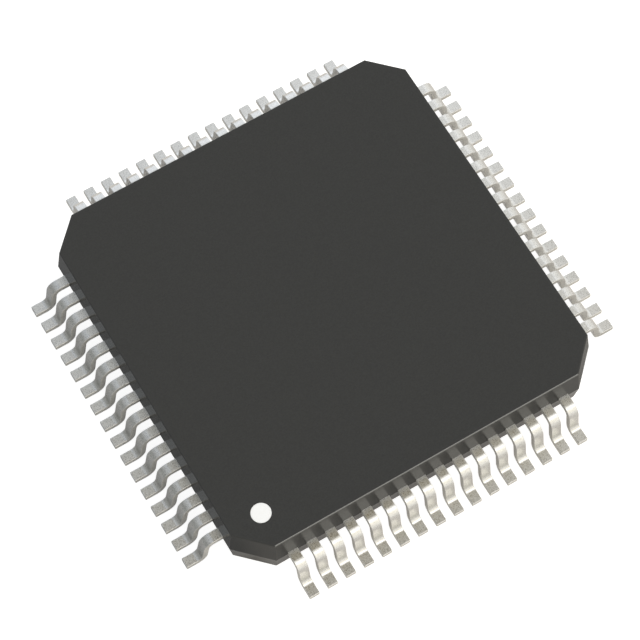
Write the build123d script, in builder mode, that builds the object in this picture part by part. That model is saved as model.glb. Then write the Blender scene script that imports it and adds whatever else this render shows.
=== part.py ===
from build123d import *
import os
from math import radians, tan

os.makedirs("parts", exist_ok=True)

# A 64-lead quad flat package with gull-wing leads. All lengths in millimetres.
# +Z is up, Z = 0 is the board that the feet stand on, and the origin is the
# package's middle on that board. The first lead is on the front (-Y) side, by
# the corner towards -X, and the count runs anticlockwise seen from above.

# Lead rows
PITCH = 0.50  # between neighbouring leads
LEADS_PER_SIDE = 16
LEAD_WIDTH = 0.25
LEAD_THICKNESS = 0.15
REACH = 1.00  # lead tip beyond the body wall at the parting line
FOOT_LENGTH = 0.47  # lead tip back to the corner where foot and slope meet
SLOPE_ANGLE = 81.0  # of the lead's sloping part above the board
BEND_RADIUS = 0.15  # inside of both bends, where one flat stands in for the round

# Moulded body
ROW_MARGIN = 1.00  # lead row's end space to the body's corner, square
STANDOFF = 0.15  # underside of the body above the board
LOWER_DEPTH = 0.68  # underside to the parting line
UPPER_DEPTH = 0.77  # parting line to the top face
DRAFT_ANGLE = 7.0  # of the walls, above and below the parting line
CORNER_CUT = 0.80  # leg of the cut corners at the parting line
EDGE_RADIUS = 0.03  # round the top face

# First-pin mark: a shallow round dimple with white ink on its floor
MARK_DIAMETER = 0.50
MARK_DEPTH = 0.03
MARK_INK = 0.02
MARK_INSET = 0.97  # mark's middle from the body's square sides

# Lead frame inside the body
FINGER_STRAIGHT = 0.45  # from the wall inwards, before a finger turns
FINGER_TIP_SPACE = 0.13  # between neighbouring finger tips
TIP_CORNER = 0.85  # last finger tip to the corner of the square of tips
TIP_GAP = 0.60  # die pad to the finger tips
DOWNSET = 0.20  # die pad below the level of the leads
PAD_RIM = 0.50  # die pad beyond the die
TIE_WIDTH = 0.30
TIE_ROOT = 0.30  # tie bar's end within the die pad's corner
TIE_RUN = 0.25  # length of the tie bar's step, along its diagonal
TIE_SHORT = 0.25  # tie bar's end to the cut corner's wall

# Die and its bond
DIE_SIDE = 4.00
DIE_THICKNESS = 0.28
BOND_LAYER = 0.025  # silver epoxy under the die
BOND_LAYER_RIM = 0.05  # epoxy squeezed out beyond the die

# Bond wires
WIRE = 0.03  # across the wire
LOOP_HEIGHT = 0.15  # above the die
BOND_EDGE = 0.12  # wire's foot to the die's edge
BOND_ROW_END = 0.35  # last wire's foot to the die's corner, along the edge
STITCH_INSET = 0.14  # middle of the wire's stitch from the finger's tip
STITCH_RUN = 0.13  # of the wire past its stitch, before it is cut off level

# Worked out from the sizes above
LEADS = 4 * LEADS_PER_SIDE
PARTING = STANDOFF + LOWER_DEPTH
TOP = PARTING + UPPER_DEPTH
BODY_HALF = (PITCH * LEADS_PER_SIDE) / 2 + ROW_MARGIN
FRAME_TOP = PARTING + LEAD_THICKNESS / 2
PAD_LEVEL = PARTING - DOWNSET
PAD_HALF = DIE_SIDE / 2 + PAD_RIM
TIP_FROM_MIDDLE = PAD_HALF + TIP_GAP
TIP_PITCH = 2 * (TIP_FROM_MIDDLE - TIP_CORNER) / (LEADS_PER_SIDE - 1)
TIP_WIDTH = TIP_PITCH - FINGER_TIP_SPACE
DIE_FLOOR = PAD_LEVEL + LEAD_THICKNESS / 2 + BOND_LAYER
DIE_TOP = DIE_FLOOR + DIE_THICKNESS
BOND_PITCH = (DIE_SIDE - 2 * BOND_ROW_END) / (LEADS_PER_SIDE - 1)

# Inside a bend the flat touches the round at its middle; its leg is its corner cut
BEND_TANGENT = BEND_RADIUS * tan(radians(SLOPE_ANGLE) / 2)
BEND_FLAT_LEG = BEND_TANGENT - BEND_RADIUS * tan(radians(SLOPE_ANGLE) / 4)


def row_place(index, pitch):
    """Place along the row of one of its leads, from the row's middle."""
    return (index - (LEADS_PER_SIDE - 1) / 2) * pitch


def nearest_corner(sketch, point):
    """The sketch's corner at a point of its own plane."""
    return sketch.vertices().sort_by_distance(point)[0]


def wing_corners(side):
    """Corners of the lead's upper (1) or lower (-1) surface, before bending.

    Each is a point (distance from the package's middle, height), from inside
    the body out to the tip. The two surfaces stay one thickness apart, so the
    corners are moved along the mitre of each bend.
    """
    offset = side * LEAD_THICKNESS / 2
    mitre = offset * tan(radians(SLOPE_ANGLE) / 2)
    foot_level = LEAD_THICKNESS / 2
    tip = BODY_HALF + REACH
    heel = tip - FOOT_LENGTH
    knee = heel - (PARTING - foot_level) / tan(radians(SLOPE_ANGLE))
    return [
        (BODY_HALF - FINGER_STRAIGHT, PARTING + offset),
        (knee + mitre, PARTING + offset),
        (heel + mitre, foot_level + offset),
        (tip, foot_level + offset),
    ]


def front_lead(index):
    """One lead of the front row: the gull wing outside and the finger inside,
    which turns towards the die pad and narrows to its tip."""
    middle = row_place(index, PITCH)
    tip_middle = row_place(index, TIP_PITCH)
    turn = BODY_HALF - FINGER_STRAIGHT
    upper, lower = wing_corners(1), wing_corners(-1)
    row_plane = Plane(origin=(middle, 0, 0), x_dir=(0, -1, 0), z_dir=(-1, 0, 0))
    with BuildPart() as lead:
        with BuildSketch(row_plane) as wing:
            with BuildLine():
                Polyline(*upper, *reversed(lower), close=True)
            make_face()
            outside = [nearest_corner(wing, upper[1]), nearest_corner(wing, lower[2])]
            fillet(outside, radius=BEND_RADIUS + LEAD_THICKNESS)
            inside = [nearest_corner(wing, lower[1]), nearest_corner(wing, upper[2])]
            chamfer(inside, length=BEND_FLAT_LEG)
        extrude(amount=LEAD_WIDTH / 2, both=True)
        with BuildSketch(Plane.XY.offset(PARTING)):
            with BuildLine():
                Polyline(
                    (middle - LEAD_WIDTH / 2, -turn),
                    (middle + LEAD_WIDTH / 2, -turn),
                    (tip_middle + TIP_WIDTH / 2, -TIP_FROM_MIDDLE),
                    (tip_middle - TIP_WIDTH / 2, -TIP_FROM_MIDDLE),
                    close=True,
                )
            make_face()
        extrude(amount=LEAD_THICKNESS / 2, both=True)
    return lead.part


def front_wire(index):
    """One bond wire of the front row: up from the die, over, and down to the
    finger, where the stitch leaves it pressed flat into the upper surface."""
    turn = BODY_HALF - FINGER_STRAIGHT
    share = STITCH_INSET / (turn - TIP_FROM_MIDDLE)
    tip_middle = row_place(index, TIP_PITCH)
    end_x = tip_middle + share * (row_place(index, PITCH) - tip_middle)
    start = Vector(row_place(index, BOND_PITCH), -(DIE_SIDE / 2 - BOND_EDGE), DIE_TOP)
    stitch = Vector(end_x, -(TIP_FROM_MIDDLE + STITCH_INSET), FRAME_TOP)
    crest = start + Vector(0, 0, LOOP_HEIGHT)
    along = (stitch - crest).normalized()
    with BuildPart() as wire:
        with BuildLine():
            Polyline(start, crest, stitch + along * STITCH_RUN)
        across = along.cross(Vector(0, 0, 1))
        with BuildSketch(Plane(origin=start, x_dir=across, z_dir=(0, 0, 1))):
            Rectangle(WIRE, WIRE)
        sweep(transition=Transition.RIGHT)
        split(bisect_by=Plane.XY.offset(FRAME_TOP), keep=Keep.TOP)
    return wire.part


# Leads, two to a piece file
front_leads = [front_lead(index) for index in range(LEADS_PER_SIDE)]
lead_pairs = []
for first in range(0, LEADS, 2):
    turned = (0, 0, 90 * (first // LEADS_PER_SIDE))
    with BuildPart() as lead_pair:
        add(front_leads[first % LEADS_PER_SIDE], rotation=turned)
        add(front_leads[(first + 1) % LEADS_PER_SIDE], rotation=turned)
    lead_pair.part.label = f"leads_{first + 1:02d}_{first + 2:02d}"
    lead_pairs.append(lead_pair.part)

# Bond wires, four to a piece file
front_wires = [front_wire(index) for index in range(LEADS_PER_SIDE)]
wire_groups = []
for first in range(0, LEADS, 4):
    turned = (0, 0, 90 * (first // LEADS_PER_SIDE))
    with BuildPart() as wire_group:
        for index in range(first, first + 4):
            add(front_wires[index % LEADS_PER_SIDE], rotation=turned)
    wire_group.part.label = f"bond_wires_{first + 1:02d}_{first + 4:02d}"
    wire_groups.append(wire_group.part)

# Die pad, hung on four tie bars that step up to the level of the leads
corner_wall = 2**0.5 * BODY_HALF - CORNER_CUT / 2**0.5
tie_end = corner_wall - TIE_SHORT
step_start = 2**0.5 * PAD_HALF
half = LEAD_THICKNESS / 2
with BuildPart() as die_pad:
    with BuildSketch(Plane.XY.offset(PAD_LEVEL)):
        Rectangle(2 * PAD_HALF, 2 * PAD_HALF)
    extrude(amount=half, both=True)
    for turn in range(45, 360, 90):
        diagonal = Plane.XZ.rotated((0, 0, turn))
        with BuildSketch(diagonal):
            with BuildLine():
                Polyline(
                    (step_start - TIE_ROOT, PAD_LEVEL - half),
                    (step_start, PAD_LEVEL - half),
                    (step_start + TIE_RUN, PARTING - half),
                    (tie_end, PARTING - half),
                    (tie_end, PARTING + half),
                    (step_start + TIE_RUN, PARTING + half),
                    (step_start, PAD_LEVEL + half),
                    (step_start - TIE_ROOT, PAD_LEVEL + half),
                    close=True,
                )
            make_face()
        extrude(amount=TIE_WIDTH / 2, both=True)
die_pad.part.label = "die_pad"

# Silver epoxy under the die
with BuildPart() as die_attach:
    with BuildSketch(Plane.XY.offset(DIE_FLOOR - BOND_LAYER)):
        Rectangle(DIE_SIDE + 2 * BOND_LAYER_RIM, DIE_SIDE + 2 * BOND_LAYER_RIM)
    extrude(amount=BOND_LAYER)
die_attach.part.label = "die_attach"

# Silicon die
with BuildPart() as die:
    with BuildSketch(Plane.XY.offset(DIE_FLOOR)):
        Rectangle(DIE_SIDE, DIE_SIDE)
    extrude(amount=DIE_THICKNESS)
die.part.label = "die"

# White ink in the first-pin dimple
mark_place = -(BODY_HALF - MARK_INSET)
with BuildPart() as pin_1_mark:
    with BuildSketch(Plane.XY.offset(TOP - MARK_DEPTH)):
        with Locations((mark_place, mark_place)):
            Circle(MARK_DIAMETER / 2)
    extrude(amount=MARK_INK)
pin_1_mark.part.label = "pin_1_mark"

# Moulded body, cast round everything inside it
inner_pieces = [*lead_pairs, *wire_groups, die_pad.part, die_attach.part, die.part]
with BuildPart() as moulded_body:
    with BuildSketch(Plane.XY.offset(PARTING)) as plan:
        Rectangle(2 * BODY_HALF, 2 * BODY_HALF)
        chamfer(plan.vertices(), length=CORNER_CUT)
    extrude(amount=UPPER_DEPTH, taper=DRAFT_ANGLE)
    extrude(plan.sketch, amount=-LOWER_DEPTH, taper=DRAFT_ANGLE)
    fillet(moulded_body.faces().sort_by(Axis.Z)[-1].edges(), radius=EDGE_RADIUS)
    with BuildSketch(Plane.XY.offset(TOP)):
        with Locations((mark_place, mark_place)):
            Circle(MARK_DIAMETER / 2)
    extrude(amount=-MARK_DEPTH, mode=Mode.SUBTRACT)
    add(inner_pieces, mode=Mode.SUBTRACT)
moulded_body.part.label = "moulded_body"

for piece in [moulded_body.part, pin_1_mark.part, *inner_pieces]:
    export_step(piece, f"parts/{piece.label}.step")
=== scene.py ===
"""A quad flat integrated circuit on a white table, dressed for its picture.

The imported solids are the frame. The moulded body, the first-pin mark and the leads
get finer surfaces of the same form, worked out here as grids of points, and every
solid that stays gets its own finish. Sizes are in millimetres until the last step,
which puts them into the meshes in metres.
"""

import logging
import math
from dataclasses import dataclass, field
from enum import Enum

import bpy
import numpy as np
from mathutils import Matrix, Vector


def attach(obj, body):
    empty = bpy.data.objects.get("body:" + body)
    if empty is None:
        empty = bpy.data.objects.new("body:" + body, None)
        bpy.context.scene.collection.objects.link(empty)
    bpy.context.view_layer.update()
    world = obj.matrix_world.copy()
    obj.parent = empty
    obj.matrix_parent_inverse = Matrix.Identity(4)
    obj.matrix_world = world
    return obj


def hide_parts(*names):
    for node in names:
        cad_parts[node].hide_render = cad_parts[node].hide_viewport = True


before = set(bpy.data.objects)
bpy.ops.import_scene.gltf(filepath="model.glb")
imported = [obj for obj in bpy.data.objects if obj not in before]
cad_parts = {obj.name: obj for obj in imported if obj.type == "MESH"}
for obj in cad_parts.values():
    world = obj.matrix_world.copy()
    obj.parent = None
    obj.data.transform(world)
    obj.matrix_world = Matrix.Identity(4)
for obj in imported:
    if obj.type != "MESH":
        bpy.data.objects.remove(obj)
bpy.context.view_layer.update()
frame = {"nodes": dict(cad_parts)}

MM = 0.001
LOG = logging.getLogger("integrated_circuit")


class Side(Enum):
    """The package's four sides, with the quarter turns from the front one."""

    FRONT = 0
    RIGHT = 1
    BACK = 2
    LEFT = 3

    def turned(self, points: np.ndarray) -> np.ndarray:
        """Carries points of the front side round to this side, about +Z."""
        angle = self.value * math.pi / 2
        c, s = round(math.cos(angle)), round(math.sin(angle))
        return points @ np.array([[c, s, 0.0], [-s, c, 0.0], [0.0, 0.0, 1.0]])


def closed_grid(rings: np.ndarray, first: int = 0) -> tuple[np.ndarray, list]:
    """Turns rings of points into a closed skin, with a middle point at each end.

    Ring r, place a is joined to the same place of the next ring and to the next
    place of its own ring, which wraps round. The two end rings are closed by a fan
    of triangles to their mean point.

    Args:
        rings: points of shape (rings, places, 3), anticlockwise as seen from the
            last ring's side.
        first: number given to the first vertex, for skins that share a mesh.

    Returns:
        The vertices, and the faces as lists of vertex numbers that point outwards.
    """
    count, places = rings.shape[:2]
    here = np.arange(count * places).reshape(count, places) + first
    along = np.roll(here, -1, axis=1)
    quads = np.stack([here[:-1], along[:-1], along[1:], here[1:]], axis=-1)
    low, high = first + count * places, first + count * places + 1
    start = np.stack([along[0], here[0], np.full(places, low)], axis=-1)
    end = np.stack([here[-1], along[-1], np.full(places, high)], axis=-1)
    middles = [rings[0].mean(axis=0), rings[-1].mean(axis=0)]
    points = np.vstack([rings.reshape(-1, 3), middles])
    faces = quads.reshape(-1, 4).tolist() + start.tolist() + end.tolist()
    return points, faces


def smooth_object(name: str, points: np.ndarray, faces: list) -> bpy.types.Object:
    """Makes a smooth-shaded object of points in millimetres, at the origin.

    Args:
        name: the object's name.
        points: vertices in millimetres.
        faces: lists of vertex numbers.

    Returns:
        The linked object, with its place in its mesh.
    """
    mesh = bpy.data.meshes.new(name)
    mesh.from_pydata((points * MM).tolist(), [], faces)
    mesh.polygons.foreach_set("use_smooth", np.ones(len(faces), dtype=bool))
    mesh.update()
    piece = bpy.data.objects.new(name, mesh)
    bpy.context.scene.collection.objects.link(piece)
    return piece


def add_node(tree: bpy.types.NodeTree, kind: str, **values: object) -> bpy.types.Node:
    """Adds a node and sets its inputs by name, or its own properties.

    Args:
        tree: the node tree.
        kind: the node's type name.
        **values: input or property names, with spaces as underscores.

    Returns:
        The new node.
    """
    node = tree.nodes.new(kind)
    for key, value in values.items():
        if hasattr(node, key):
            setattr(node, key, value)
        else:
            node.inputs[key.replace("_", " ")].default_value = value
    return node


def grain_group() -> bpy.types.NodeTree:
    """The fine grain of moulded and plated surfaces, as one shared node group.

    Crystals, each a cell of one random value, are mixed half and half with a soft
    noise to one grain value about 0.5. Shade turns a colour darker and lighter by
    Depth with that grain, Roughness swings about Middle by Swing, and Height is
    the grain for a bump.

    Returns:
        The node group.
    """
    known = bpy.data.node_groups.get("surface_grain")
    if known:
        return known
    tree = bpy.data.node_groups.new("surface_grain", "ShaderNodeTree")
    sockets = tree.interface
    for name, kind, default in (
        ("Vector", "NodeSocketVector", None),
        ("Colour", "NodeSocketColor", (0.5, 0.5, 0.5, 1.0)),
        ("Scale", "NodeSocketFloat", 20000.0),
        ("Depth", "NodeSocketFloat", 0.2),
        ("Middle", "NodeSocketFloat", 0.4),
        ("Swing", "NodeSocketFloat", 0.1),
    ):
        socket = sockets.new_socket(name=name, in_out="INPUT", socket_type=kind)
        if default is not None:
            socket.default_value = default
    for name, kind in (
        ("Shade", "NodeSocketColor"),
        ("Roughness", "NodeSocketFloat"),
        ("Height", "NodeSocketFloat"),
    ):
        sockets.new_socket(name=name, in_out="OUTPUT", socket_type=kind)
    link = tree.links.new
    enter = tree.nodes.new("NodeGroupInput")
    leave = tree.nodes.new("NodeGroupOutput")
    crystals = add_node(tree, "ShaderNodeTexVoronoi", feature="F1")
    soft = add_node(tree, "ShaderNodeTexNoise", Detail=2.0, Roughness=0.6)
    for texture in (crystals, soft):
        link(enter.outputs["Vector"], texture.inputs["Vector"])
        link(enter.outputs["Scale"], texture.inputs["Scale"])
    value = tree.nodes.new("ShaderNodeSeparateColor")
    link(crystals.outputs["Color"], value.inputs[0])
    grain = add_node(tree, "ShaderNodeMix", data_type="FLOAT")
    grain.inputs[0].default_value = 0.5
    link(value.outputs[0], grain.inputs[2])
    link(soft.outputs["Fac"], grain.inputs[3])
    swing = add_node(tree, "ShaderNodeMath", operation="SUBTRACT")
    swing.inputs[1].default_value = 0.5
    link(grain.outputs[0], swing.inputs[0])
    rough = add_node(tree, "ShaderNodeMath", operation="MULTIPLY_ADD", use_clamp=True)
    link(swing.outputs[0], rough.inputs[0])
    link(enter.outputs["Swing"], rough.inputs[1])
    link(enter.outputs["Middle"], rough.inputs[2])
    gain = add_node(tree, "ShaderNodeMath", operation="MULTIPLY_ADD")
    link(swing.outputs[0], gain.inputs[0])
    link(enter.outputs["Depth"], gain.inputs[1])
    gain.inputs[2].default_value = 1.0
    shade = add_node(tree, "ShaderNodeVectorMath", operation="SCALE")
    link(enter.outputs["Colour"], shade.inputs[0])
    link(gain.outputs[0], shade.inputs["Scale"])
    link(shade.outputs[0], leave.inputs["Shade"])
    link(rough.outputs[0], leave.inputs["Roughness"])
    link(soft.outputs["Fac"], leave.inputs["Height"])
    return tree


@dataclass(frozen=True)
class Finish:
    """A surface with a fine grain: colour, shine and relief all follow the grain.

    Colours are linear. Grain is the size of one grain and relief its height, both
    in millimetres.
    """

    name: str
    colour: tuple[float, float, float]
    shine: float  # roughness at the grain's middle
    shine_swing: float = 0.10
    shade_depth: float = 0.20
    grain: float = 0.030
    relief: float = 0.001
    metallic: float = 0.0
    specular: float = 0.5

    def material(self) -> bpy.types.Material:
        """The finish as a material, made once and then shared."""
        name = f"{self.name}_finish"
        known = bpy.data.materials.get(name)
        if known:
            return known
        material = bpy.data.materials.new(name)
        material.use_nodes = True
        tree = material.node_tree
        shader = tree.nodes["Principled BSDF"]
        shader.inputs["Metallic"].default_value = self.metallic
        shader.inputs["Specular IOR Level"].default_value = self.specular
        place = tree.nodes.new("ShaderNodeTexCoord")
        grain = tree.nodes.new("ShaderNodeGroup")
        grain.node_tree = grain_group()
        grain.inputs["Colour"].default_value = (*self.colour, 1.0)
        grain.inputs["Scale"].default_value = 1.0 / (self.grain * MM)
        grain.inputs["Depth"].default_value = self.shade_depth
        grain.inputs["Middle"].default_value = self.shine
        grain.inputs["Swing"].default_value = self.shine_swing
        bump = add_node(tree, "ShaderNodeBump", Strength=1.0, Distance=self.relief * MM)
        self.vary(tree, grain, shader)
        tree.links.new(place.outputs["Object"], grain.inputs["Vector"])
        tree.links.new(grain.outputs["Shade"], shader.inputs["Base Color"])
        tree.links.new(grain.outputs["Roughness"], shader.inputs["Roughness"])
        tree.links.new(grain.outputs["Height"], bump.inputs["Height"])
        tree.links.new(bump.outputs["Normal"], shader.inputs["Normal"])
        return material

    def vary(
        self, tree: bpy.types.NodeTree, grain: bpy.types.Node, shader: bpy.types.Node
    ) -> None:
        """Leaves the grain's inputs the same all over."""

    def put_on(self, piece: bpy.types.Object) -> None:
        """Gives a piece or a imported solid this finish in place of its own."""
        piece.data.materials.clear()
        piece.data.materials.append(self.material())


@dataclass(frozen=True)
class PlatedFinish(Finish):
    """Plated strip whose sheared sides are duller and rougher than its faces.

    The piece's own attribute "sheared" is 1 on the sides and 0 on the faces.
    """

    side_colour: tuple[float, float, float] = (0.5, 0.5, 0.5)
    side_shine: float = 0.45

    def vary(
        self, tree: bpy.types.NodeTree, grain: bpy.types.Node, shader: bpy.types.Node
    ) -> None:
        """Goes from the faces' colour and shine to the sides' with the attribute.

        Args:
            tree: the material's node tree.
            grain: the placed grain group.
            shader: the surface's shader, left as it is.
        """
        sheared = add_node(tree, "ShaderNodeAttribute", attribute_name="sheared")
        colour = add_node(tree, "ShaderNodeMix", data_type="RGBA")
        colour.inputs[6].default_value = (*self.colour, 1.0)
        colour.inputs[7].default_value = (*self.side_colour, 1.0)
        shine = add_node(tree, "ShaderNodeMix", data_type="FLOAT")
        shine.inputs[2].default_value = self.shine
        shine.inputs[3].default_value = self.side_shine
        for mix in (colour, shine):
            tree.links.new(sheared.outputs["Fac"], mix.inputs[0])
        tree.links.new(colour.outputs[2], grain.inputs["Colour"])
        tree.links.new(shine.outputs[0], grain.inputs["Middle"])


@dataclass(frozen=True)
class MouldedFinish(Finish):
    """Moulding compound: satin faces, glossier walls and a rubbed upper edge.

    The piece's own attribute "polished" is 1 on walls and edges and 0 on the flat
    faces, and its attribute "rubbed" is 1 on the rounded upper edge alone.
    """

    wall_shine: float = 0.20
    rubbed_index: float = 2.1
    rubbed_shine: float = 0.18

    def vary(
        self, tree: bpy.types.NodeTree, grain: bpy.types.Node, shader: bpy.types.Node
    ) -> None:
        """Smooths the walls and lays a glossy skin over the rubbed edge.

        Args:
            tree: the material's node tree.
            grain: the placed grain group.
            shader: the surface's shader, whose coat is the glossy skin.
        """
        shader.inputs["Coat IOR"].default_value = self.rubbed_index
        shader.inputs["Coat Roughness"].default_value = self.rubbed_shine
        rubbed = add_node(tree, "ShaderNodeAttribute", attribute_name="rubbed")
        tree.links.new(rubbed.outputs["Fac"], shader.inputs["Coat Weight"])
        polished = add_node(tree, "ShaderNodeAttribute", attribute_name="polished")
        shine = add_node(tree, "ShaderNodeMix", data_type="FLOAT")
        shine.inputs[2].default_value = self.shine
        shine.inputs[3].default_value = self.wall_shine
        tree.links.new(polished.outputs["Fac"], shine.inputs[0])
        tree.links.new(shine.outputs[0], grain.inputs["Middle"])


COMPOUND = MouldedFinish(
    "moulding_compound", (0.0443, 0.0445, 0.0434), shine=0.40, shine_swing=0.06,
    shade_depth=0.25, relief=0.0005, specular=0.12,
)
TIN = PlatedFinish(
    "tin_plate", (0.665, 0.66, 0.64), shine=0.30, shine_swing=0.12, shade_depth=0.50,
    grain=0.017, relief=0.0004, metallic=1.0, side_colour=(0.75, 0.74, 0.715),
    side_shine=0.80,
)
INK = Finish(
    "white_ink", (0.98, 0.98, 0.98), shine=0.50, shade_depth=0.04, relief=0.0006
)
COPPER = Finish(
    "copper_alloy", (0.72, 0.38, 0.24), shine=0.32, grain=0.04, metallic=1.0
)
EPOXY = Finish(
    "silver_epoxy", (0.48, 0.48, 0.50), shine=0.45, grain=0.015, metallic=0.6
)
SILICON = Finish(
    "silicon", (0.10, 0.11, 0.14), shine=0.12, shine_swing=0.02, shade_depth=0.06,
    metallic=0.5,
)
GOLD = Finish(
    "gold_wire", (0.95, 0.66, 0.22), shine=0.18, shine_swing=0.04, shade_depth=0.05,
    metallic=1.0,
)


@dataclass
class Lead:
    """One lead: finger inside the body, shoulder, two bends, slope and foot.

    A strip of rounded rectangular section is carried along a line that runs from
    the finger's tip out to the foot's tip. All sizes are in millimetres.
    """

    pitch: float = 0.50
    per_side: int = 16
    width: float = 0.265
    thickness: float = 0.15
    edge: float = 0.012  # radius of the plated edges
    edge_places: int = 5  # points along each rounded edge
    bend_places: int = 25  # stations along each bend
    wall: float = 5.00  # body wall at the parting line, from the middle
    level: float = 0.83  # mid thickness where the lead leaves the body
    reach: float = 1.00
    foot: float = 0.47
    slope: float = math.radians(81.0)
    bend: float = 0.15  # inside radius
    finger_turn: float = 4.55  # where the finger starts to turn and taper
    finger_tip: float = 3.10
    tip_pitch: float = 0.30
    tip_width: float = 0.17

    def line(self) -> dict[str, np.ndarray]:
        """Stations along the lead, in the upright plane that it lies in.

        Straight runs join two arcs about the bends' centres, whose angle runs from
        0 to the slope and back. At both tips the edge radius is worked out as a
        quarter circle: the station moves on with its sine while the section's edge
        shrinks with its cosine.

        Returns:
            For each station its distance out, height, the strip's tilt below level
            and the share of the edge radius that is left.
        """
        radius = self.bend + self.thickness / 2
        back = radius * math.tan(self.slope / 2)
        floor = self.thickness / 2
        tip = self.wall + self.reach
        heel = tip - self.foot
        knee = heel - (self.level - floor) / math.tan(self.slope)
        down = np.linspace(0.0, self.slope, self.bend_places)
        rise = down[::-1]
        quarter = np.linspace(0.0, math.pi / 2, self.edge_places)
        flat = np.zeros_like(quarter)
        hold = self.edge / 2  # flat kept beside each rounded tip
        runs = [
            (self.finger_tip + self.edge - self.edge * np.sin(quarter[::-1]),
             flat + self.level, flat, np.cos(quarter[::-1])),
            ([self.finger_tip + self.edge + hold, self.finger_turn, self.wall],
             [self.level] * 3, [0.0] * 3, [1.0] * 3),
            (knee - back + radius * np.sin(down),
             self.level - radius + radius * np.cos(down), down, np.ones_like(down)),
            (heel + back - radius * np.sin(rise),
             floor + radius - radius * np.cos(rise), rise, np.ones_like(rise)),
            ([tip - self.edge - hold], [floor], [0.0], [1.0]),
            (tip - self.edge + self.edge * np.sin(quarter), flat + floor, flat,
             np.cos(quarter)),
        ]
        out, height, tilt, left = (np.concatenate(column) for column in zip(*runs))
        return {"out": out, "height": height, "tilt": tilt, "left": left}

    def section(self) -> dict[str, np.ndarray]:
        """Places round the strip's section, anticlockwise seen from its foot.

        Each corner is a quarter circle with one more place on each flat beside it,
        which keeps the flats flat under smooth shading.

        Returns:
            For each place the corner's signs, how far it is drawn in from the
            corner along the width and the thickness, and its direction from the
            corner circle's centre.
        """
        corners = []
        for turn, (across, up) in enumerate(((1, 1), (-1, 1), (-1, -1), (1, -1))):
            quarter = np.linspace(0.0, math.pi / 2, self.edge_places)
            angles = math.pi / 2 * turn + quarter
            angles = np.concatenate([angles[:1], angles, angles[-1:]])
            shape = (2, len(angles))
            first_on_side = turn % 2 == 0
            drawn = np.zeros(shape)
            drawn[1 if first_on_side else 0, 0] = self.edge / 2
            drawn[0 if first_on_side else 1, -1] = self.edge / 2
            signs = np.full(shape, [[across], [up]], dtype=float)
            corners.append(np.vstack([signs, drawn, np.cos(angles), np.sin(angles)]))
        names = ("across", "up", "draw_across", "draw_up", "cosine", "sine")
        return dict(zip(names, np.hstack(corners)))

    def sheared(self) -> np.ndarray:
        """For each vertex, how far the section faces sideways there, squared."""
        sideways = self.section()["cosine"] ** 2
        stations = len(self.line()["out"])
        return np.concatenate([np.tile(sideways, stations), [0.0, 0.0]])

    def skin(self, index: int) -> np.ndarray:
        """The lead's surface on the front side.

        A place of the section is its corner, less the edge radius and what it is
        drawn in, plus the edge radius along its direction. The width runs along X,
        the thickness along the strip's normal, which leans out by the tilt.

        Args:
            index: the lead's number in its row, from 0 at the row's -X end.

        Returns:
            Points of shape (stations, places, 3).
        """
        line, ring = self.line(), self.section()
        turn_share = np.clip(
            (line["out"] - self.finger_tip) / (self.finger_turn - self.finger_tip), 0, 1
        )
        from_middle = index - (self.per_side - 1) / 2
        middle = from_middle * (
            self.tip_pitch + (self.pitch - self.tip_pitch) * turn_share
        )
        width = self.tip_width + (self.width - self.tip_width) * turn_share
        radius = self.edge * line["left"][:, None]
        across = ring["across"] * (
            width[:, None] / 2 - self.edge - ring["draw_across"]
        ) + radius * ring["cosine"]
        up = ring["up"] * (
            self.thickness / 2 - self.edge - ring["draw_up"]
        ) + radius * ring["sine"]
        sin, cos = np.sin(line["tilt"])[:, None], np.cos(line["tilt"])[:, None]
        x = middle[:, None] + across
        y = -(line["out"][:, None] + up * sin)
        z = line["height"][:, None] + up * cos
        return np.stack([x, y, z], axis=-1)


@dataclass
class LeadRows:
    """All the leads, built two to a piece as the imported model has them."""

    lead: Lead = field(default_factory=Lead)
    finish: Finish = TIN

    def build(self) -> None:
        """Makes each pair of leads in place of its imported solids."""
        count = self.lead.per_side
        for side in Side:
            for index in range(0, count, 2):
                number = side.value * count + index + 1
                self.pair(f"leads_{number:02d}_{number + 1:02d}", side, index)

    def pair(self, node: str, side: Side, index: int) -> bpy.types.Object:
        """Two neighbouring leads as one piece.

        Args:
            node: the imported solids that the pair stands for.
            side: the package's side.
            index: the first lead's number in its row.

        Returns:
            The piece.
        """
        points, faces = [], []
        for one in (index, index + 1):
            first = sum(len(block) for block in points)
            block, more = closed_grid(side.turned(self.lead.skin(one)), first)
            points.append(block)
            faces += more
        piece = smooth_object(f"gull_wing_{node}", np.vstack(points), faces)
        sheared = piece.data.attributes.new("sheared", "FLOAT", "POINT")
        sheared.data.foreach_set("value", np.tile(self.lead.sheared(), 2))
        self.finish.put_on(piece)
        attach(piece, "root")
        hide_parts(node)
        LOG.info("%s: %d faces", piece.name, len(faces))
        return piece


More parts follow.
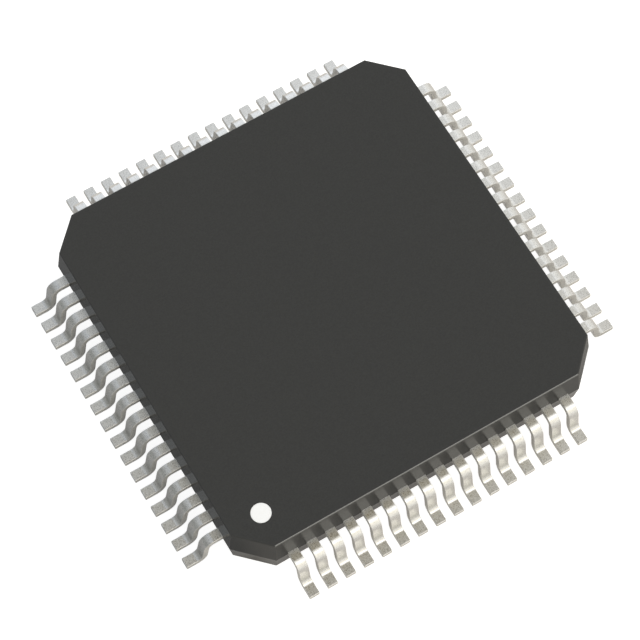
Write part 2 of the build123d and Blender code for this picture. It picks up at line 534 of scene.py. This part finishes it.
@dataclass
class FirstPinMark:
    """White ink on the floor of a shallow round dimple."""

    place: float = -4.03  # along X and along Y
    radius: float = 0.25
    depth: float = 0.03  # of the dimple
    ink: float = 0.02
    gap: float = 0.001  # between the ink and the dimple's wall
    edge: float = 0.008
    edge_places: int = 6  # points along the ink's rounded edge
    hold: float = 0.002  # straight side kept below that edge
    low_share: float = 0.9  # of the radius, where the underside's inner ring is
    top_shares: tuple[float, float] = (0.8, 0.4)  # and the top's inner rings
    places: int = 96  # points round the axis

    def build(self, top: float) -> bpy.types.Object:
        """The disc of ink: a profile of radius and height turned about its axis.

        Args:
            top: height of the body's top face.

        Returns:
            The piece.
        """
        low = top - self.depth
        high = low + self.ink
        quarter = np.linspace(0.0, math.pi / 2, self.edge_places)
        side = self.radius - self.gap
        reach = np.concatenate([
            [side * self.low_share, side, side],
            side - self.edge + self.edge * np.cos(quarter),
            [side * share for share in self.top_shares],
        ])
        height = np.concatenate([
            [low, low, high - self.edge - self.hold],
            high - self.edge + self.edge * np.sin(quarter), [high, high],
        ])
        around = np.linspace(0.0, 2 * math.pi, self.places, endpoint=False)
        rings = np.stack(
            [self.place + reach[:, None] * np.cos(around),
             self.place + reach[:, None] * np.sin(around),
             np.repeat(height[:, None], self.places, axis=1)],
            axis=-1,
        )
        piece = smooth_object("first_pin_ink", *closed_grid(rings))
        INK.put_on(piece)
        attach(piece, "root")
        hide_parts("pin_1_mark")
        LOG.info("%s: radius %.3f mm", piece.name, side)
        return piece


@dataclass
class MouldedBody:
    """The casting: drafted walls, cut corners, rounded edges and the dimple."""

    half: float = 5.00  # at the parting line
    cut: float = 0.80  # leg of a cut corner at the parting line
    low: float = 0.15
    parting: float = 0.83
    top: float = 1.60
    draft: float = math.radians(7.0)
    top_edge: float = 0.03
    low_edge: float = 0.010
    front_depth: float = 0.01  # how far behind the front side still counts as front
    rubbed_elsewhere: float = 0.1  # share of the rub on all but the front upper edge
    corner: float = 0.016  # radius of the upright edges
    corner_places: int = 6  # points along each of them
    rim: float = 0.006  # radius of the dimple's upper edge
    rim_places: int = 5  # rings along it
    floor_share: float = 0.9  # of the dimple's radius, where its floor's ring is
    edge_places: int = 9  # rings along the edges of the top face and the underside
    hold: float = 0.008  # flat kept beside each radius
    rays: int = 120  # that spread the points along the sides
    clear: float = 0.004  # share of a side kept free of them at each end
    mark: FirstPinMark = field(default_factory=FirstPinMark)

    def outline(self, half: float, height: float, shares: list) -> np.ndarray:
        """The eight-sided outline at one height, with rounded corners.

        Corner k lies between the sides that face k and k + 1 eighths of a turn
        from +X. Its arc's centre is the corner moved in by radius / cos(22.5 deg).
        The cut corners keep the walls' offset, so their leg shrinks by
        2 - sqrt(2) times the inset.

        Args:
            half: half the width across the square sides.
            height: height of the outline.
            shares: for each of the eight sides, places along it from 0 to 1.

        Returns:
            Points of shape (places, 3), anticlockwise from above.
        """
        cut = self.cut - (2 - math.sqrt(2)) * (self.half - half)
        corners, starts, ends = [], [], []
        for k in range(8):
            face, next_face = k * math.pi / 4, (k + 1) * math.pi / 4
            ahead = np.array([half, half - cut] if k % 2 == 0 else [half - cut, half])
            turn = (k // 2) * math.pi / 2
            c, s = math.cos(turn), math.sin(turn)
            point = np.array([c * ahead[0] - s * ahead[1], s * ahead[0] + c * ahead[1]])
            lean = face + math.pi / 8
            inward = self.corner / math.cos(math.pi / 8)
            centre = point - inward * np.array([math.cos(lean), math.sin(lean)])
            arc = np.linspace(face, next_face, self.corner_places)
            arc_points = centre + self.corner * np.stack([np.cos(arc), np.sin(arc)], -1)
            before = arc_points[0] - self.hold * np.array(
                [-math.sin(face), math.cos(face)]
            )
            after = arc_points[-1] + self.hold * np.array(
                [-math.sin(next_face), math.cos(next_face)]
            )
            corners.append(np.vstack([before, arc_points, after]))
            starts.append(before)
            ends.append(after)
        blocks = []
        for k in range(8):
            share = np.asarray(shares[(k + 1) % 8])[:, None]
            run = ends[k] + share * (starts[(k + 1) % 8] - ends[k])
            blocks += [corners[k], run]
        flat = np.vstack(blocks)
        return np.column_stack([flat, np.full(len(flat), height)])

    def shares_seen_from_mark(self, half: float) -> list:
        """Where even rays from the dimple's middle meet the sides.

        A ray at angle a meets the side that faces f at distance
        (side - centre.f) / cos(a - f), and the nearest side ahead is the one met.

        Args:
            half: half the width across the square sides, at the top face.

        Returns:
            For each of the eight sides, the sorted shares along it.
        """
        bare = self.outline(half, 0.0, [[]] * 8)
        corners = bare[:, :2].reshape(8, self.corner_places + 2, 2)
        starts = np.roll(corners[:, -1], 1, axis=0)
        ends = corners[:, 0]
        centre = np.full(2, self.mark.place)
        angles = np.linspace(0.0, 2 * math.pi, self.rays, endpoint=False)
        rays = np.stack([np.cos(angles), np.sin(angles)], axis=-1)
        run = ends - starts
        normal = np.stack([run[:, 1], -run[:, 0]], axis=-1)
        facing = rays @ normal.T
        reach = ((starts - centre) * normal).sum(axis=1) / np.where(
            facing > 1e-9, facing, np.nan
        )
        met = np.nanargmin(np.where(reach > 0, reach, np.nan), axis=1)
        points = centre + rays * reach[np.arange(len(met)), met][:, None]
        share = ((points - starts[met]) * run[met]).sum(axis=1) / (run[met] ** 2).sum(1)
        inside = (share > self.clear) & (share < 1 - self.clear)
        return [np.sort(share[inside & (met == k)]) for k in range(8)]

    def profile(self) -> tuple[np.ndarray, np.ndarray]:
        """Half width and height of each ring from the underside up to the top face.

        The walls lean in by the draft on both sides of the parting line, and a
        quarter circle, less the draft, rounds each end of a wall into its face.

        Returns:
            Half widths and heights.
        """
        lean = math.tan(self.draft)
        turn = np.linspace(self.draft, math.pi / 2, self.edge_places)

        def rounding(edge: float, depth: float) -> tuple[np.ndarray, np.ndarray]:
            """Half widths and depths of one rounding, from the wall to the face."""
            corner_half = self.half - depth * lean
            centre = corner_half - edge * math.tan((math.pi / 2 - self.draft) / 2)
            return centre + edge * np.cos(turn), depth - edge + edge * np.sin(turn)

        low_half, low_depth = rounding(self.low_edge, self.parting - self.low)
        top_half, top_depth = rounding(self.top_edge, self.top - self.parting)
        near = self.hold
        half = np.concatenate([
            [low_half[-1] - near], low_half[::-1], [low_half[0] + near * lean],
            [self.half - near * lean, self.half, self.half - near * lean],
            [top_half[0] + near * lean], top_half, [top_half[-1] - near],
        ])
        height = np.concatenate([
            [self.low], self.parting - low_depth[::-1],
            [self.parting - low_depth[0] + near],
            [self.parting - near, self.parting, self.parting + near],
            [self.parting + top_depth[0] - near], self.parting + top_depth, [self.top],
        ])
        return half, height

    def dimple(self, outer: np.ndarray) -> np.ndarray:
        """Rings from the dimple's rim down to its floor.

        Each place keeps the angle at which the top face's outer ring sees it from
        the dimple's middle, so the flat between them is ruled by straight lines.

        Args:
            outer: the top face's outermost ring.

        Returns:
            Points of shape (rings, places, 3).
        """
        mark, rim = self.mark, self.rim
        away = outer[:, :2] - mark.place
        angle = np.arctan2(away[:, 1], away[:, 0])
        turn = np.linspace(0.0, math.pi / 2, self.rim_places)
        reach = np.concatenate([
            [mark.radius + rim + self.hold], mark.radius + rim - rim * np.sin(turn),
            [mark.radius, mark.radius * self.floor_share],
        ])
        depth = np.concatenate([
            [0.0], rim - rim * np.cos(turn), [mark.depth, mark.depth],
        ])
        return np.stack([
            mark.place + reach[:, None] * np.cos(angle),
            mark.place + reach[:, None] * np.sin(angle),
            np.repeat((self.top - depth)[:, None], len(angle), axis=1),
        ], axis=-1)

    def put_shares(
        self, piece: bpy.types.Object, name: str, shares: np.ndarray
    ) -> None:
        """Gives the piece an attribute with a share for each place of its skin.

        Args:
            piece: the casting.
            name: the attribute's name.
            shares: values of shape (rings, places); the two end middles get 0.
        """
        attribute = piece.data.attributes.new(name, "FLOAT", "POINT")
        attribute.data.foreach_set("value", [*shares.ravel(), 0.0, 0.0])

    def build(self) -> bpy.types.Object:
        """The whole casting as one closed skin of rings.

        The walls and their edges are polished, all but the two rings at each end.
        The rub is on the upper edge's own rings, less its first and its last.

        Returns:
            The piece.
        """
        half, height = self.profile()
        shares = self.shares_seen_from_mark(half[-1])
        shell = np.stack([self.outline(h, z, shares) for h, z in zip(half, height)])
        rings = np.concatenate([shell, self.dimple(shell[-1])])
        piece = smooth_object("cast_body", *closed_grid(rings))
        walls = len(half)
        polished, rubbed = np.zeros(rings.shape[:2]), np.zeros(rings.shape[:2])
        polished[2 : walls - 2] = 1.0
        front = shell[..., 1] < self.front_depth - half[:, None]
        rubbed[:walls] = np.where(front, 1.0, self.rubbed_elsewhere)
        rubbed[: walls - self.edge_places] = 0.0
        rubbed[walls - 2 :] = 0.0
        self.put_shares(piece, "polished", polished)
        self.put_shares(piece, "rubbed", rubbed)
        COMPOUND.put_on(piece)
        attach(piece, "root")
        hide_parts("moulded_body")
        LOG.info("%s: %d rings of %d places", piece.name, *rings.shape[:2])
        return piece


@dataclass
class SealedPieces:
    """What the body holds out of sight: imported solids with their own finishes."""

    wire_finish: Finish = GOLD
    finishes: dict[str, Finish] = field(
        default_factory=lambda: {"die_pad": COPPER, "die_attach": EPOXY, "die": SILICON}
    )

    def dress(self, nodes: dict[str, bpy.types.Object]) -> None:
        """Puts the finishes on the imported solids.

        Args:
            nodes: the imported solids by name.
        """
        for name, solid in nodes.items():
            if name in self.finishes:
                self.finishes[name].put_on(solid)
            elif name.startswith("bond_wires"):
                self.wire_finish.put_on(solid)
            else:
                continue
            LOG.info("%s: dressed", name)


@dataclass(frozen=True)
class Panel:
    """A round patch of the tent that is brighter or darker than its cloth."""

    towards: tuple[float, float, float]
    half_angle: float  # degrees, to the middle of its soft edge
    soft: float  # degrees, from the middle of the edge to its end
    light: tuple[float, float, float]  # added to the cloth's own, below zero for less


@dataclass
class Studio:
    """A white table under a bright tent: warm in front, dim on the left.

    Lengths are in millimetres, and colours are linear.
    """

    table: float = 600.0
    gap: float = 0.004  # between the feet and the table
    matt: float = 0.9  # the table's roughness
    cloth: tuple[float, float, float] = (1.22, 1.23, 1.24)
    panels: tuple[Panel, ...] = (
        Panel((-0.95, 0.20, 0.05), 80.0, 24.0, (-0.73, -0.73, -0.74)),  # the dim left
        Panel((-0.88, 0.33, 0.30), 17.0, 8.0, (-0.16, -0.16, -0.17)),  # dimmest there
        Panel((0.18, -0.58, 0.766), 31.0, 9.0, (0.28, 0.245, 0.165)),  # the warm front
        Panel((0.20, -0.98, 0.10), 60.0, 20.0, (-0.06, -0.09, -0.16)),  # low in front
        Panel((0.05, 0.85, 0.50), 40.0, 18.0, (0.12, 0.16, 0.22)),  # the cool back
        Panel((0.92, 0.05, 0.40), 34.0, 16.0, (-0.16, -0.18, -0.23)),  # the warm right
        Panel((0.17, 0.20, 0.96), 10.0, 3.0, (-0.95, -1.04, -1.21)),  # dark overhead
        Panel((-0.03, 0.38, 0.92), 11.0, 6.0, (-0.27, -0.26, -0.24)),  # beside that
    )
    paint: tuple[float, float, float] = (0.53, 0.51, 0.485)  # the table's own colour
    painted_left_shade: tuple[float, float, float] = (0.27, 0.27, 0.272)  # painted shade: a darker grey on the table's left
    # Where the painted shade on the left ends and bare table starts, along X and along
    # Y.
    painted_left_shade_edges: tuple[tuple[float, float], ...] = ((-5.3, -4.7), (-4.6, -5.3))
    painted_corner_shade: tuple[float, float, float] = (5.6, -4.8, 0.0)  # middle of a painted shade on the table, by one corner
    painted_corner_shade_edge: tuple[float, float] = (0.8, 1.1)  # where it fades out, from there
    painted_corner_shade_share: float = 0.48  # what it leaves of the colour
    glow_seen: float = 0.90  # what lifts the table to white before the camera
    glow_mirrored: float = 0.64  # and in mirrors, as a share of its own colour
    shade_edge: tuple[float, float] = (4.3, 5.2)  # no such glow under the package

    def build(self) -> None:
        """Makes the table, the tent and the lamp."""
        self.lay_table()
        self.pitch_tent()
        self.lamp(
            "warm_key", place=(30.0, -63.0, 133.0), size=(80.0, 30.0), brightness=1.9,
            colour=(1.0, 0.985, 0.955),
        )

    def lay_table(self) -> None:
        """A matt plane just under the feet, which shows as plain white.

        It has a front side alone, so the package can be looked at from beneath.
        """
        half = self.table / 2
        corners = half * np.array([[-1, -1, 0], [1, -1, 0], [1, 1, 0], [-1, 1, 0]])
        table = smooth_object("table", corners - [0, 0, self.gap], [[0, 1, 2, 3]])
        material = bpy.data.materials.new("table_white")
        material.use_nodes = True
        tree = material.node_tree
        shader = tree.nodes["Principled BSDF"]
        place = tree.nodes.new("ShaderNodeTexCoord")
        axes = tree.nodes.new("ShaderNodeSeparateXYZ")
        tree.links.new(place.outputs["Object"], axes.inputs[0])
        colour = self.table_colour(tree, place.outputs["Object"], axes)
        tree.links.new(colour, shader.inputs["Base Color"])
        shader.inputs["Roughness"].default_value = self.matt
        shader.inputs["Specular IOR Level"].default_value = 0.0
        glow = tree.nodes.new("ShaderNodeEmission")
        tree.links.new(self.glow_light(tree, axes, colour), glow.inputs["Color"])
        both = tree.nodes.new("ShaderNodeAddShader")
        tree.links.new(shader.outputs[0], both.inputs[0])
        tree.links.new(glow.outputs[0], both.inputs[1])
        facing = tree.nodes.new("ShaderNodeNewGeometry")
        clear = tree.nodes.new("ShaderNodeBsdfTransparent")
        sided = tree.nodes.new("ShaderNodeMixShader")
        tree.links.new(facing.outputs["Backfacing"], sided.inputs[0])
        tree.links.new(both.outputs[0], sided.inputs[1])
        tree.links.new(clear.outputs[0], sided.inputs[2])
        result = tree.nodes["Material Output"]
        tree.links.new(sided.outputs[0], result.inputs["Surface"])
        table.data.materials.append(material)

    def table_colour(
        self, tree: bpy.types.NodeTree, place: bpy.types.NodeSocket,
        axes: bpy.types.Node,
    ) -> bpy.types.NodeSocket:
        """The table's colour: paint, with painted shade on its left and by one corner.

        Args:
            tree: the node tree.
            place: the place's coordinates.
            axes: the node that gives them one by one.

        Returns:
            The colour's socket.
        """
        # Painted shade: the table turns a darker grey over its left side.
        bare = add_node(tree, "ShaderNodeMath", operation="MAXIMUM")
        for socket, axis, edge in zip(bare.inputs, ("X", "Y"), self.painted_left_shade_edges):
            tree.links.new(self.fade(tree, axes.outputs[axis], edge), socket)
        left_shaded = add_node(tree, "ShaderNodeMix", data_type="RGBA")
        left_shaded.inputs[6].default_value = (*self.painted_left_shade, 1.0)
        left_shaded.inputs[7].default_value = (*self.paint, 1.0)
        tree.links.new(bare.outputs[0], left_shaded.inputs[0])
        # Painted shade: the table's colour is darkened round a point by one corner.
        apart = add_node(tree, "ShaderNodeVectorMath", operation="DISTANCE")
        apart.inputs[1].default_value = Vector(self.painted_corner_shade) * MM
        tree.links.new(place, apart.inputs[0])
        colour = add_node(tree, "ShaderNodeVectorMath", operation="SCALE")
        tree.links.new(left_shaded.outputs[2], colour.inputs[0])
        away = apart.outputs["Value"]
        left = self.fade(tree, away, self.painted_corner_shade_edge, self.painted_corner_shade_share)
        tree.links.new(left, colour.inputs["Scale"])
        return colour.outputs[0]

    def fade(
        self, tree: bpy.types.NodeTree, value: bpy.types.NodeSocket,
        edge: tuple[float, float], low: float = 0.0,
    ) -> bpy.types.NodeSocket:
        """A smooth step up to 1.

        Args:
            tree: the node tree.
            value: what is compared with the edge, in metres.
            edge: where the step starts and where it ends, in millimetres. With the
                first above the second, the step goes up towards smaller values.
            low: what it starts from.

        Returns:
            The step's socket.
        """
        step = add_node(tree, "ShaderNodeMapRange", interpolation_type="SMOOTHSTEP")
        step.inputs["From Min"].default_value = edge[0] * MM
        step.inputs["From Max"].default_value = edge[1] * MM
        step.inputs["To Min"].default_value = low
        tree.links.new(value, step.inputs["Value"])
        return step.outputs[0]

    def glow_light(
        self, tree: bpy.types.NodeTree, axes: bpy.types.Node,
        colour: bpy.types.NodeSocket,
    ) -> bpy.types.NodeSocket:
        """The table's glow: white to the eye and through glass, dimmer in mirrors.

        In mirrors it has the table's colour at each place, so its painted shade stays
        dark there, and it fades out under the package, where no light gets in.

        Args:
            tree: the node tree.
            axes: the node that gives the place's coordinates.
            colour: the table's own colour at each place.

        Returns:
            The socket of the glow's light.
        """
        path = tree.nodes.new("ShaderNodeLightPath")
        seen = add_node(tree, "ShaderNodeMath", operation="ADD")
        tree.links.new(path.outputs["Is Camera Ray"], seen.inputs[0])
        tree.links.new(path.outputs["Is Transmission Ray"], seen.inputs[1])
        white = add_node(tree, "ShaderNodeMath", operation="MULTIPLY")
        white.inputs[1].default_value = self.glow_seen
        tree.links.new(seen.outputs[0], white.inputs[0])
        away = add_node(tree, "ShaderNodeMath", operation="MAXIMUM")
        for socket, axis in zip(away.inputs, ("X", "Y")):
            size = add_node(tree, "ShaderNodeMath", operation="ABSOLUTE")
            tree.links.new(axes.outputs[axis], size.inputs[0])
            tree.links.new(size.outputs[0], socket)
        share = add_node(tree, "ShaderNodeMath", operation="MULTIPLY")
        share.inputs[1].default_value = self.glow_mirrored
        open_air = self.fade(tree, away.outputs[0], self.shade_edge)
        tree.links.new(open_air, share.inputs[0])
        mirrored = add_node(tree, "ShaderNodeMath", operation="MULTIPLY")
        tree.links.new(path.outputs["Is Glossy Ray"], mirrored.inputs[0])
        tree.links.new(share.outputs[0], mirrored.inputs[1])
        light = add_node(tree, "ShaderNodeVectorMath", operation="MULTIPLY_ADD")
        tree.links.new(colour, light.inputs[0])
        tree.links.new(mirrored.outputs[0], light.inputs[1])
        tree.links.new(white.outputs[0], light.inputs[2])
        return light.outputs[0]

    def pitch_tent(self) -> None:
        """The world: the cloth plus each panel, and plain white to the camera.

        A panel's share rises smoothly from 0 to 1 with the cosine between the
        direction looked in and the panel's own, from its outer to its inner edge.
        """
        world = bpy.data.worlds.new("tent")
        bpy.context.scene.world = world
        world.use_nodes = True
        tree = world.node_tree
        place = tree.nodes.new("ShaderNodeTexCoord")
        total = None
        for panel in self.panels:
            near = add_node(tree, "ShaderNodeVectorMath", operation="DOT_PRODUCT")
            near.inputs[1].default_value = Vector(panel.towards).normalized()
            tree.links.new(place.outputs["Generated"], near.inputs[0])
            share = add_node(
                tree, "ShaderNodeMapRange", interpolation_type="SMOOTHSTEP"
            )
            outer = math.radians(panel.half_angle + panel.soft)
            inner = math.radians(panel.half_angle - panel.soft)
            share.inputs["From Min"].default_value = math.cos(outer)
            share.inputs["From Max"].default_value = math.cos(inner)
            tree.links.new(near.outputs["Value"], share.inputs["Value"])
            added = add_node(tree, "ShaderNodeVectorMath", operation="MULTIPLY_ADD")
            tree.links.new(share.outputs[0], added.inputs[0])
            added.inputs[1].default_value = panel.light
            if total is None:
                added.inputs[2].default_value = self.cloth
            else:
                tree.links.new(total, added.inputs[2])
            total = added.outputs[0]
        path = tree.nodes.new("ShaderNodeLightPath")
        seen = add_node(tree, "ShaderNodeMix", data_type="RGBA")
        seen.inputs[7].default_value = (1.0, 1.0, 1.0, 1.0)
        tree.links.new(path.outputs["Is Camera Ray"], seen.inputs[0])
        tree.links.new(total, seen.inputs[6])
        tree.links.new(seen.outputs[2], tree.nodes["Background"].inputs["Color"])

    def lamp(
        self, name: str, place: tuple[float, float, float], size: tuple[float, float],
        brightness: float, colour: tuple[float, float, float],
    ) -> None:
        """An oblong lamp that faces the package.

        Args:
            name: the lamp's name.
            place: where it hangs, in millimetres.
            size: its width and its height in millimetres.
            brightness: how bright its face is, where 1 is white.
            colour: its tint.
        """
        data = bpy.data.lights.new(name, "AREA")
        data.shape = "RECTANGLE"
        data.size, data.size_y = size[0] * MM, size[1] * MM
        data.energy = brightness * math.pi * data.size * data.size_y
        data.color = colour
        lamp = bpy.data.objects.new(name, data)
        lamp.location = Vector(place) * MM
        lamp.rotation_euler = lamp.location.to_track_quat("Z", "Y").to_euler()
        bpy.context.scene.collection.objects.link(lamp)


@dataclass
class Camera:
    """The photograph's viewpoint, fitted to measured corners of the package."""

    azimuth: float = math.radians(-30.5048)  # from looking along +Y
    elevation: float = math.radians(67.4097)
    roll: float = math.radians(-0.2374)
    distance: float = 62.5142  # millimetres
    aside: float = -0.0410
    above: float = -0.0207
    focal_pixels: float = 2543.0
    picture: float = 640.0  # its side in pixels
    sensor: float = 36.0  # millimetres
    nearest: float = 1.0  # millimetres
    farthest: float = 10000.0

    def build(self) -> bpy.types.Object:
        """Makes the scene's camera from its right, up and backward directions."""
        a, e, r = self.azimuth, self.elevation, self.roll
        back = Vector(
            (math.sin(a) * math.cos(e), -math.cos(a) * math.cos(e), math.sin(e))
        )
        level = Vector((math.cos(a), math.sin(a), 0.0))
        upright = back.cross(level)
        right = level * math.cos(r) + upright * math.sin(r)
        up = upright * math.cos(r) - level * math.sin(r)
        place = (back * self.distance + right * self.aside + up * self.above) * MM
        data = bpy.data.cameras.new("camera")
        data.sensor_width = self.sensor
        data.lens = self.sensor * self.focal_pixels / self.picture
        data.clip_start = self.nearest * MM
        data.clip_end = self.farthest * MM
        camera = bpy.data.objects.new("camera", data)
        axes = Matrix((right, up, back)).transposed().to_4x4()
        camera.matrix_world = Matrix.Translation(place) @ axes
        bpy.context.scene.collection.objects.link(camera)
        bpy.context.scene.camera = camera
        return camera


def main() -> None:
    """Builds the package's pieces in order, then the studio and the camera."""
    logging.basicConfig(level=logging.INFO, format="%(name)s: %(message)s")
    bpy.context.scene.view_settings.view_transform = "Standard"
    body = MouldedBody()
    body.build()
    body.mark.build(body.top)
    LeadRows().build()
    SealedPieces().dress(frame["nodes"])
    Studio().build()
    Camera().build()


if __name__ == "__main__":
    main()
